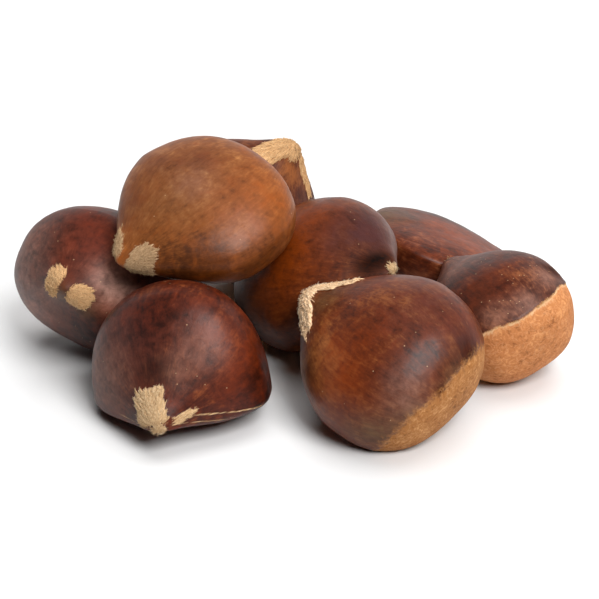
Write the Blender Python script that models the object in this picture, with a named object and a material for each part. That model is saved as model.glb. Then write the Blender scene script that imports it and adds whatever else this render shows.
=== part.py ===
"""A heap of eight roasted sweet chestnuts, at real size.

Units are metres, +Z is up, +X runs to the right along the front of the heap and the front
faces -Y. The heap stands on z = 0 with its box centred on the origin. Each nut is modelled in
its own frame, with its pointed tip along +Z and its rounded side towards +Y, then turned,
stood on a small flat spot and slid up to its neighbours.
"""

import math
from dataclasses import dataclass

import bmesh
import bpy
from mathutils import Matrix, Vector
from mathutils.bvhtree import BVHTree

MM = 0.001

# Clear distance between neighbouring nuts, how deep the ground cuts a nut to stand it, and
# how near the cut a point is drawn onto it.
GAP = 0.3 * MM
FLAT_DEPTH = 0.2 * MM
CUT_SNAP = 0.06 * MM

# Facets round a nut's axis and along it.
FACETS_ROUND = 32
FACETS_ALONG = 20

# Form that all nuts share.
SPIRE = 3.0             # height of the little spire at the tip, in mm
SPIRE_SPREAD = 0.28     # how far it flares into the shoulders, of the half width
THINNING = 0.14         # how much thinner the nut is at the tip, and thicker at the base
SHOULDER_POWER = 1.65   # section above the widest place: under 2 runs to a point
BASE_POWER = 2.5        # section below it: over 2 makes a broad blunt base
DOME_POWER = 2.15       # cross-section of the rounded side
FLAT_POWER = 2.6        # cross-section of the flatter side, squarer at the edges

# Gentle lumps in the shell: their height, how many there are round and along the nut, and
# how far they are turned from one nut to the next, in radians.
LUMP_HEIGHT = 0.15 * MM
LUMPS = ((2, 1), (3, 2), (5, 3))
LUMP_TURN = 2.4

SHELL_ROUGHNESS = 0.38
SHARP_FROM = math.radians(40)

# How far out a nut starts before it slides in, how far up one that lies on the others starts,
# and how fine the last step is.
RUN_UP = 30 * MM
DROP = 60 * MM
LAST_STEP = 0.01 * MM
MOST_STEPS = 80


@dataclass(frozen=True)
class Nut:
    """One chestnut: sizes in millimetres, directions in degrees, place in the heap in mm."""

    name: str
    width: float
    above: float        # from the widest section up to the tip
    below: float        # from the widest section down to the base
    dome: float         # from the seam out to the rounded side
    flat: float         # from the seam out to the flatter side
    yaw: float          # where the tip points, from +X towards +Y
    pitch: float        # and how far above level
    roll: float         # turn of the rounded side about the axis, 0 when it is uppermost
    place: tuple
    shell: tuple        # base colour, linear
    lean: float = 0     # how far the shoulders are pushed to one side
    on_heap: bool = False


CHESTNUT = (0.115, 0.035, 0.016)
RED_BROWN = (0.095, 0.024, 0.012)
TAWNY = (0.230, 0.085, 0.032)
COCOA = (0.105, 0.040, 0.022)

NUTS = (
    Nut("chestnut_centre", 35.2, 20.5, 17.5, 11.9, 11.3, -45, 20, 27, (4.5, 11.3), CHESTNUT),
    Nut("chestnut_front_right", 34.8, 20.8, 16.7, 14, 6.5, 142, 20.5, -27, (16.4, -18), CHESTNUT),
    Nut("chestnut_front_left", 34.5, 15.7, 13.3, 20.4, 4.5, -102, 3, 6, (-22.5, -18.5), RED_BROWN),
    Nut("chestnut_right", 27.4, 18, 15.5, 8.5, 11.5, 118, 7, -19, (38.8, 1.8), COCOA),
    Nut("chestnut_left", 32, 16.7, 14.3, 13, 14, -103, 18, -22, (-41, 7.5), RED_BROWN),
    Nut("chestnut_back_right", 31.5, 18, 15.5, 11.5, 3, 9, -18.5, 177, (31, 33.2), TAWNY),
    Nut("chestnut_back_top", 36.5, 18.4, 15.6, 14, 10, -3, 53, 102, (-11.5, 37.5), TAWNY),
    Nut("chestnut_top", 35, 20.5, 17.5, 8, 9, -138, -13, -17, (-19.5, 6), TAWNY,
        lean=0.7, on_heap=True),
)


def bent(value, power):
    """The value raised to 2 / power, with its sign kept: the curve of a superellipse."""
    return math.copysign(abs(value) ** (2 / power), value)


def skin_point(nut, theta, phi):
    """A point of the shell in the nut's own frame, theta from the tip and phi round the axis."""
    above = math.cos(theta) >= 0
    power = SHOULDER_POWER if above else BASE_POWER
    along = bent(math.cos(theta), power)
    out = bent(math.sin(theta), power)
    if above:
        flare = math.exp(-((out / SPIRE_SPREAD) ** 2))
        z = (nut.above - SPIRE) * along + SPIRE * flare
    else:
        z = nut.below * along
    domed = math.sin(phi) >= 0
    section = DOME_POWER if domed else FLAT_POWER
    thickness = nut.dome if domed else nut.flat
    x = nut.width / 2 * out * bent(math.cos(phi), section)
    x += nut.lean * max(0, math.sin(2 * theta))
    y = thickness * out * bent(math.sin(phi), section) * (1 - THINNING * along)
    point = Vector((x, y, z)) * MM
    return point + point.normalized() * lump(nut, theta, phi)


def lump(nut, theta, phi):
    """Height of the gentle lumps at a point, none at the two ends."""
    shift = LUMP_TURN * NUTS.index(nut)
    waves = sum(
        math.sin(turns * phi + shift * turns) * math.cos(rows * theta + shift)
        for turns, rows in LUMPS
    )
    return LUMP_HEIGHT * waves * math.sin(theta) ** 2


def turn_of(nut):
    """The rotation that lays the nut's own axes the way it lies in the heap."""
    yaw, pitch, roll = (math.radians(a) for a in (nut.yaw, nut.pitch, nut.roll))
    tip = Vector((
        math.cos(pitch) * math.cos(yaw),
        math.cos(pitch) * math.sin(yaw),
        math.sin(pitch),
    ))
    upper = (Vector((0, 0, 1)) - tip * tip.z).normalized()
    dome = upper * math.cos(roll) + tip.cross(upper) * math.sin(roll)
    side = dome.cross(tip)
    return Matrix((side, dome, tip)).transposed()


def shell_mesh(nut):
    """The closed skin of one nut, from a ball whose points are moved onto the shell."""
    mesh = bmesh.new()
    bmesh.ops.create_uvsphere(mesh, u_segments=FACETS_ROUND, v_segments=FACETS_ALONG, radius=1)
    for vert in mesh.verts:
        theta = math.acos(max(-1, min(1, vert.co.z)))
        phi = math.atan2(vert.co.y, vert.co.x)
        vert.co = skin_point(nut, theta, phi)
    return mesh


def stand(mesh, turn):
    """Cuts the flat spot that the nut stands on, and gives its height over the ground."""
    lowest = min((turn @ vert.co).z for vert in mesh.verts)
    height = -lowest - FLAT_DEPTH
    down = turn.transposed() @ Vector((0, 0, -1))
    cut = bmesh.ops.bisect_plane(
        mesh,
        geom=mesh.verts[:] + mesh.edges[:] + mesh.faces[:],
        dist=CUT_SNAP,
        plane_co=down * height,
        plane_no=down,
        clear_outer=True,
    )
    for item in cut["geom_cut"]:
        if isinstance(item, bmesh.types.BMVert):
            item.co += down * (height - item.co.dot(down))
    rim = [item for item in cut["geom_cut"] if isinstance(item, bmesh.types.BMEdge)]
    bmesh.ops.contextual_create(mesh, geom=rim)
    bmesh.ops.recalc_face_normals(mesh, faces=mesh.faces)
    return height


class Placed:
    """A nut's skin turned as it lies, where it can be measured against the others."""

    def __init__(self, nut, mesh, turn, height):
        self.nut = nut
        self.mesh = mesh
        self.turn = turn
        self.at = Vector((nut.place[0] * MM, nut.place[1] * MM, height))
        self.points = [turn @ vert.co for vert in mesh.verts]
        self.tree = BVHTree.FromPolygons(
            self.points, [[vert.index for vert in face.verts] for face in mesh.faces]
        )

    def clearance(self, other):
        """The least distance between two skins that don't overlap."""
        shift = self.at - other.at
        mine = (other.tree.find_nearest(point + shift)[3] for point in self.points)
        theirs = (self.tree.find_nearest(point - shift)[3] for point in other.points)
        return min(min(mine), min(theirs))

    def slide(self, start, stop, others):
        """Moves from start to stop, or to where the first neighbour is a gap away.

        A step as long as what is clear can't pass through anything.
        """
        self.at = start
        for _ in range(MOST_STEPS):
            left = stop - self.at
            clear = min(self.clearance(other) for other in others) - GAP
            if left.length < LAST_STEP or clear < LAST_STEP:
                break
            self.at = self.at + left.normalized() * min(clear, left.length)


def run_up(piece, first):
    """From a nut's place back to where it starts: above, or out from the first nut."""
    if piece.nut.on_heap:
        return Vector((0, 0, DROP))
    way = piece.at - first.at
    way.z = 0
    return way.normalized() * RUN_UP


def lay_heap():
    """The nuts in the places that they take, each slid up to those laid before it."""
    laid = []
    for nut in NUTS:
        mesh = shell_mesh(nut)
        turn = turn_of(nut)
        height = 0 if nut.on_heap else stand(mesh, turn)
        mesh.verts.index_update()
        piece = Placed(nut, mesh, turn, height)
        if laid:
            piece.slide(piece.at + run_up(piece, laid[0]), piece.at, laid)
        laid.append(piece)
    return laid


def middle_of(laid):
    """The middle of the heap's box, on the ground."""
    points = [piece.at + point for piece in laid for point in piece.points]
    low = [min(point[axis] for point in points) for axis in range(2)]
    high = [max(point[axis] for point in points) for axis in range(2)]
    return Vector(((low[0] + high[0]) / 2, (low[1] + high[1]) / 2, 0))


def shell_material(nut):
    """The nut's polished shell."""
    material = bpy.data.materials.new(nut.name + "_shell")
    material.use_nodes = True
    shader = material.node_tree.nodes["Principled BSDF"]
    shader.inputs["Base Color"].default_value = (*nut.shell, 1)
    shader.inputs["Roughness"].default_value = SHELL_ROUGHNESS
    shader.inputs["Metallic"].default_value = 0
    material.diffuse_color = (*nut.shell, 1)
    return material


def add_nut(piece, middle, collection):
    """Makes one nut's object, with its origin inside it at its widest section."""
    data = bpy.data.meshes.new(piece.nut.name)
    piece.mesh.to_mesh(data)
    piece.mesh.free()
    data.materials.append(shell_material(piece.nut))
    data.shade_smooth()
    data.set_sharp_from_angle(angle=SHARP_FROM)
    nut = bpy.data.objects.new(piece.nut.name, data)
    nut.location = piece.at - middle
    nut.rotation_euler = piece.turn.to_euler()
    collection.objects.link(nut)


def main():
    """Clears the scene and builds the heap."""
    for old in list(bpy.data.objects):
        bpy.data.objects.remove(old, do_unlink=True)
    collection = bpy.data.collections.new("roasted_chestnuts")
    bpy.context.scene.collection.children.link(collection)
    laid = lay_heap()
    middle = middle_of(laid)
    for piece in laid:
        add_nut(piece, middle, collection)


main()
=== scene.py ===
"""Roasted sweet chestnuts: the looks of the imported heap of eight.

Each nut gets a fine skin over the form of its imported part, with the soft dents of a shell that
has dried in the heat, the rough scar of its base set a little below the shell, and the felt
that lies in lobes round its tip. Short strands fray the felt and the border of the scar.
Lengths are millimetres and angles degrees unless a name says otherwise; Blender's are metres.
"""

import logging
import math
from collections.abc import Mapping, Sequence
from dataclasses import dataclass, field
from enum import Enum

import bpy
import numpy as np
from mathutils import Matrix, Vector, noise


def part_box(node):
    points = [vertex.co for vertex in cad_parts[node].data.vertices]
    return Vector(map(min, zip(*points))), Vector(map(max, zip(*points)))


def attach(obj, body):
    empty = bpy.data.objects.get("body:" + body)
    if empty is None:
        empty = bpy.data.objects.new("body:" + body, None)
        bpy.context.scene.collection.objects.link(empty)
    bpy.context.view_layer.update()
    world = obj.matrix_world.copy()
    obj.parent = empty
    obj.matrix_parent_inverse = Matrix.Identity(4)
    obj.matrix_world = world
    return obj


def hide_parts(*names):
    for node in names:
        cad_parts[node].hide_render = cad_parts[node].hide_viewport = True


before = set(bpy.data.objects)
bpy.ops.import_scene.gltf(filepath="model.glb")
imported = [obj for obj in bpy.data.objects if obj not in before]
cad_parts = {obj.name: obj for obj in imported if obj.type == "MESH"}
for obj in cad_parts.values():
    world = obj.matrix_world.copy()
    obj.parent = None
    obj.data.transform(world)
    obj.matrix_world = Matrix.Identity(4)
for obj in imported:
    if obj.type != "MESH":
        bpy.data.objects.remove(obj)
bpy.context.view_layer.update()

MM = 0.001
BODY = "root"
CLOUD_WAY = (1.0, 1.7, 2.3)     # the way that a seed moves the noise
log = logging.getLogger("chestnuts")


class Slot(Enum):
    """The record's material slots, one listed with each nut."""

    CHESTNUT = "chestnut_shell"
    RED_BROWN = "red_brown_shell"
    COCOA = "cocoa_shell"
    TAWNY = "tawny_shell"
    SCAR = "base_scar"
    FELT = "tip_felt"


class Tint(Enum):
    """What a mark does to the shell. The value names the attribute that holds it."""

    TONE = "tone"       # lighter above 0, darker below; a few marks are painted highlights and painted shade
    RUST = "rust"       # clear orange brown, where the shell is thin and clean
    PLUM = "plum"       # purple brown of a well roasted cheek
    OLIVE = "olive"     # dull olive brown beside the scar
    BLOOM = "bloom"     # grey haze: dust, and painted highlights and painted grey reflections of the surroundings
    CHAR = "char"       # near black: scorched spots, and painted shade on the centre nut's lower left


@dataclass(frozen=True)
class NutForm:
    """One nut's form and the way it lies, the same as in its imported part.

    The nut's own axes have the tip along +Z and the rounded side towards +Y.
    """

    order: int          # its place in the heap's list, which turns its lumps
    width: float
    above: float        # from the widest section up to the tip
    below: float        # from the widest section down to the base
    dome: float         # from the seam out to the rounded side
    flat: float         # from the seam out to the flatter side
    yaw: float
    pitch: float
    roll: float
    lean: float = 0.0

    SPIRE = 3.0
    SPIRE_SPREAD = 0.28
    THINNING = 0.14
    SHOULDER_POWER = 1.65
    BASE_POWER = 2.5
    DOME_POWER = 2.15
    FLAT_POWER = 2.6
    LUMP_HEIGHT = 0.15
    LUMPS = ((2, 1), (3, 2), (5, 3))
    LUMP_TURN = 2.4
    FACETS_ROUND = 32
    FACETS_ALONG = 20

    def skin(self, theta: np.ndarray, phi: np.ndarray) -> np.ndarray:
        """Points of the shell in the nut's own axes.

        Args:
            theta: Angles from the tip, in radians.
            phi: Angles round the axis from +X, in radians.

        Returns:
            An array of one row of x, y and z a point.
        """
        above = np.cos(theta) >= 0
        power = np.where(above, self.SHOULDER_POWER, self.BASE_POWER)
        along = bent(np.cos(theta), power)
        out = bent(np.sin(theta), power)
        flare = np.exp(-((out / self.SPIRE_SPREAD) ** 2))
        tall = (self.above - self.SPIRE) * along + self.SPIRE * flare
        z = np.where(above, tall, self.below * along)
        domed = np.sin(phi) >= 0
        section = np.where(domed, self.DOME_POWER, self.FLAT_POWER)
        x = self.width / 2 * out * bent(np.cos(phi), section)
        x = x + self.lean * np.maximum(0, np.sin(2 * theta))
        y = self.thickness(domed) * out * bent(np.sin(phi), section) * (1 - self.THINNING * along)
        points = np.stack((x, y, z), axis=-1)
        outward = points / np.linalg.norm(points, axis=-1, keepdims=True)
        return points + outward * self.lump(theta, phi)[..., None]

    def at(self, theta: float, phi: float) -> np.ndarray:
        """The one point of the shell at those angles, in degrees."""
        return self.skin(np.array([math.radians(theta)]), np.array([math.radians(phi)]))[0]

    def thickness(self, domed: np.ndarray) -> np.ndarray:
        """The depth from the seam of the side that each point is on."""
        return np.where(domed, self.dome, self.flat)

    def lump(self, theta: np.ndarray, phi: np.ndarray) -> np.ndarray:
        """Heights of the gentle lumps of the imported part.

        Args:
            theta: Angles from the tip, in radians.
            phi: Angles round the axis, in radians.

        Returns:
            The height at each point, none at the two ends.
        """
        shift = self.LUMP_TURN * self.order
        waves = sum(
            np.sin(turns * phi + shift * turns) * np.cos(rows * theta + shift)
            for turns, rows in self.LUMPS
        )
        return self.LUMP_HEIGHT * waves * np.sin(theta) ** 2

    def turn(self) -> np.ndarray:
        """The rotation from the nut's own axes to the heap's."""
        yaw, pitch, roll = (math.radians(angle) for angle in (self.yaw, self.pitch, self.roll))
        tip = Vector((
            math.cos(pitch) * math.cos(yaw),
            math.cos(pitch) * math.sin(yaw),
            math.sin(pitch),
        ))
        upper = (Vector((0, 0, 1)) - tip * tip.z).normalized()
        dome = upper * math.cos(roll) + tip.cross(upper) * math.sin(roll)
        return np.array((dome.cross(tip), dome, tip)).T

    def place(self, node: str) -> np.ndarray:
        """Where the nut's own origin is in the heap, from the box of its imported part.

        The part's facets are points of the same skin, so that their box sets the place.

        Args:
            node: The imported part's name.

        Returns:
            The origin, in millimetres.
        """
        rows = np.linspace(0, math.pi, self.FACETS_ALONG + 1)
        turns = np.linspace(0, 2 * math.pi, self.FACETS_ROUND, endpoint=False)
        theta, phi = (grid.ravel() for grid in np.meshgrid(rows, turns, indexing="ij"))
        points = self.skin(theta, phi) @ self.turn().T
        low, high = (np.array(corner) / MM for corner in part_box(node))
        middle = (low + high) / 2 - (points.min(0) + points.max(0)) / 2
        return np.array((middle[0], middle[1], high[2] - points[:, 2].max()))


@dataclass(frozen=True)
class ScarForm:
    """The border of the scar: how low it is on the rounded side, and how it climbs from there."""

    middle: float       # height of its lowest point along the axis, below 0
    left: float         # how much it climbs by the seam at -X
    right: float        # how much it climbs by the seam at +X
    climb: float        # how much it climbs towards the flatter side, for one thickness
    lowest_at: float    # where it is lowest, in thicknesses towards the rounded side
    softness: float = 1.0       # how many times as wide as on a clean tear the border fades
    frayed: int = 160   # strands on it

    def inside(self, form: NutForm, points: np.ndarray) -> np.ndarray:
        """How far each point is inside the border.

        Args:
            form: The nut that carries the scar.
            points: Points of the skin in the nut's own axes.

        Returns:
            Distances along the axis, above 0 on the scar.
        """
        across = points[:, 0] / (form.width / 2)
        deep = points[:, 1] / form.thickness(points[:, 1] >= 0)
        rise = np.where(across < 0, self.left, self.right) * across**2
        border = self.middle + rise + self.climb * (self.lowest_at - deep)
        return border - points[:, 2]


@dataclass(frozen=True)
class FeltPatch:
    """A squarish patch of the felt that grows round the tip."""

    theta: float        # of its middle, from the tip
    phi: float          # and round the axis
    across: float       # half its width, round the nut
    along: float        # half its length, away from the tip
    square: float = 4.0         # 2 for an oval, more for squarer corners
    turned: float = 0.0         # how far it is turned from straight down the nut
    DEEP = 9.0          # what is further below its middle than this is another side of the nut
    RAGGED = 0.4        # how far the edge wanders, for half the patch's width
    MOST_RAGGED = 0.5
    ASIDE = 1e-6        # moves a patch at the very tip, so that it has a way down

    def inside(self, form: NutForm, points: np.ndarray, wander: np.ndarray) -> np.ndarray:
        """How far each point is inside the patch's edge.

        Args:
            form: The nut that carries the patch.
            points: Points of the skin in the nut's own axes.
            wander: Noise from about -1 to 1 that makes the edge ragged.

        Returns:
            Distances, above 0 on the felt.
        """
        middle = form.at(self.theta, self.phi)
        outward = middle / np.linalg.norm(middle)
        down = middle - form.at(0.0, 0.0) + np.array((self.ASIDE, 0, 0))
        down = down - outward * (down @ outward)
        down /= np.linalg.norm(down)
        aside = np.cross(down, outward)
        turn = math.radians(self.turned)
        offset = points - middle
        shares = (
            offset @ (aside * math.cos(turn) - down * math.sin(turn)) / self.across,
            offset @ (down * math.cos(turn) + aside * math.sin(turn)) / self.along,
            offset @ outward / self.DEEP,
        )
        share = sum(np.abs(part) ** self.square for part in shares) ** (1 / self.square)
        narrow = min(self.across, self.along)
        return (1 - share) * narrow + wander * min(self.RAGGED * narrow, self.MOST_RAGGED)


@dataclass(frozen=True)
class Mark:
    """A soft patch of another tint on the shell."""

    theta: float        # of its middle, from the tip
    phi: float          # and round the axis
    radius: float
    strength: float     # in the middle

    def amount(self, form: NutForm, points: np.ndarray) -> np.ndarray:
        """How strongly the patch shows at each point.

        Args:
            form: The nut that carries the mark.
            points: Points of the skin in the nut's own axes.

        Returns:
            The strength at the middle of the patch, fading to 0.
        """
        away = np.linalg.norm(points - form.at(self.theta, self.phi), axis=1) / self.radius
        return self.strength * np.exp(-(away**2))


def bent(value: np.ndarray, power: np.ndarray) -> np.ndarray:
    """The value raised to 2 / power with its sign kept, the curve of a superellipse."""
    return np.copysign(np.abs(value) ** (2 / power), value)


def smooth(low: float, high: float, value: np.ndarray) -> np.ndarray:
    """A soft step from 0 at low to 1 at high."""
    share = np.clip((value - low) / (high - low), 0, 1)
    return share * share * (3 - 2 * share)


def cloud(points: np.ndarray, size: float, seed: float) -> np.ndarray:
    """Smooth noise.

    Args:
        points: Where it is read.
        size: The size of its blobs, in the points' unit.
        seed: Moves it on, so that nuts differ.

    Returns:
        A value for each point, from about -1 to 1.
    """
    moved = points / size + seed * np.array(CLOUD_WAY)
    return np.array([noise.noise(Vector(row)) for row in moved.tolist()])


def clouds(
    points: np.ndarray, layers: Sequence[tuple[float, float]], seed: float
) -> np.ndarray:
    """Smooth noise of several sizes, added up.

    Args:
        points: Where it is read.
        layers: The size and the height of each layer's blobs.
        seed: Moves it on.

    Returns:
        The height at each point.
    """
    return sum(height * cloud(points, size, seed) for size, height in layers)


def grained(grain: np.ndarray, across: float, along: float, seed: float) -> np.ndarray:
    """Smooth noise whose blobs have one size across the grain and another along it."""
    return cloud(grain / np.array((across, across, along)), 1.0, seed)


def linear(colour: str) -> tuple[float, float, float, float]:
    """A colour written as sRGB hex digits, turned to the linear values that Blender takes."""
    parts = (int(colour[start:start + 2], 16) / 255 for start in (0, 2, 4))
    return *((c / 12.92 if c <= 0.04045 else ((c + 0.055) / 1.055) ** 2.4) for c in parts), 1.0


def add_node(
    owner: bpy.types.ID,
    kind: str,
    inputs: Mapping[int | str, object] | None = None,
    output: int | str = 0,
    **settings: object,
) -> bpy.types.NodeSocket | None:
    """Adds a node to a material or world, with its settings and links.

    Args:
        owner: The material or world.
        kind: The node's type without its ShaderNode prefix.
        inputs: Its input sockets by name or number, each a value or a socket to link from.
        output: The output that is wanted, by name or number.
        settings: The node's own properties.

    Returns:
        The wanted output, or nothing where the node has none.
    """
    tree = owner.node_tree
    node = tree.nodes.new("ShaderNode" + kind)
    for name, value in settings.items():
        setattr(node, name, value)
    for name, value in (inputs or {}).items():
        if isinstance(value, bpy.types.NodeSocket):
            tree.links.new(value, node.inputs[name])
        else:
            node.inputs[name].default_value = value
    return node.outputs[output] if node.outputs else None


def cover(
    material: bpy.types.Material,
    under: object,
    over: object,
    pattern: bpy.types.NodeSocket,
    starts: float,
    full: float,
    most: float = 1.0,
) -> bpy.types.NodeSocket:
    """Lays one colour over another where a pattern is strong, with a soft edge.

    Args:
        material: Where the nodes go.
        under: The colour below, a linear colour or a socket.
        over: The colour on top, the same.
        pattern: The pattern.
        starts: Its value where the upper colour starts to show.
        full: Its value where it shows in full.
        most: How much it covers there.

    Returns:
        The socket of the colour.
    """
    share = add_node(
        material,
        "MapRange",
        {"Value": pattern, "From Min": starts, "From Max": full, "To Max": most},
        interpolation_type="SMOOTHSTEP",
    )
    return add_node(material, "Mix", {0: share, 6: under, 7: over}, 2, data_type="RGBA")


def weighed(
    material: bpy.types.Material,
    start: object,
    parts: Sequence[tuple[bpy.types.NodeSocket, float]],
) -> object:
    """Adds patterns up, each times its weight.

    Args:
        material: Where the nodes go.
        start: What they are added to, a number or a socket.
        parts: Each pattern with its weight.

    Returns:
        The socket of the sum.
    """
    total = start
    for pattern, weight in parts:
        total = add_node(
            material, "Math", {0: pattern, 1: weight, 2: total}, operation="MULTIPLY_ADD"
        )
    return total


@dataclass(frozen=True)
class Pattern:
    """Cloudy noise whose blobs have a real size, longer from tip to base where the grain is."""

    across: float               # size of a blob across the grain
    along: float                # and along it
    detail: float = 3.0         # how many finer layers it has
    rough: float = 0.55         # how strong each finer layer is
    twist: float = 0.0          # how far the blobs are pulled about
    shift: float = 0.0          # how far on it is from the nut's own seed

    def lay(self, material: bpy.types.Material, seed: float) -> bpy.types.NodeSocket:
        """Adds the pattern to a material.

        Args:
            material: Where the nodes go.
            seed: Moves the pattern on, so that nuts differ.

        Returns:
            The socket of its strength, from about 0 to 1.
        """
        even = self.across == self.along
        place = add_node(
            material, "Attribute", output="Vector", attribute_name="skin" if even else "grain"
        )
        scale = (1 / self.across, 1 / self.across, 1 / self.along)
        place = add_node(material, "VectorMath", {0: place, 1: scale}, operation="MULTIPLY")
        return add_node(
            material,
            "TexNoise",
            {
                "Vector": place,
                "W": seed + self.shift,
                "Scale": 1.0,
                "Detail": self.detail,
                "Roughness": self.rough,
                "Distortion": self.twist,
            },
            noise_dimensions="4D",
        )


@dataclass(frozen=True)
class Surface:
    """A nut's surface so far: the sockets of its colour, its roughness and its fine relief."""

    material: bpy.types.Material
    colour: bpy.types.NodeSocket
    roughness: bpy.types.NodeSocket
    height: bpy.types.NodeSocket            # in millimetres

    def under(
        self,
        mask: bpy.types.NodeSocket,
        colour: bpy.types.NodeSocket,
        roughness: float,
        height: bpy.types.NodeSocket,
    ) -> "Surface":
        """Lays another finish over this one where its mask says.

        Args:
            mask: Where the other finish is, from 0 to 1.
            colour: Its colour.
            roughness: Its roughness.
            height: Its fine relief, in millimetres.

        Returns:
            The surface with the other finish on it.
        """
        return Surface(
            self.material,
            add_node(
                self.material, "Mix", {0: mask, 6: self.colour, 7: colour}, 2, data_type="RGBA"
            ),
            add_node(self.material, "Mix", {0: mask, 2: self.roughness, 3: roughness}),
            add_node(self.material, "Mix", {0: mask, 2: self.height, 3: height}),
        )

    def end(self, ior: float, specular: bpy.types.NodeSocket) -> bpy.types.Material:
        """Ends the material with its shader.

        Args:
            ior: The index of refraction of the outer skin.
            specular: How strongly it mirrors, 0.5 for a clean skin.

        Returns:
            The material.
        """
        normal = add_node(
            self.material, "Bump", {"Height": self.height, "Strength": 1.0, "Distance": MM}
        )
        shader = add_node(
            self.material,
            "BsdfPrincipled",
            {
                "Base Color": self.colour,
                "Roughness": self.roughness,
                "Normal": normal,
                "IOR": ior,
                "Specular IOR Level": specular,
            },
        )
        add_node(self.material, "OutputMaterial", {"Surface": shader})
        return self.material


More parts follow.
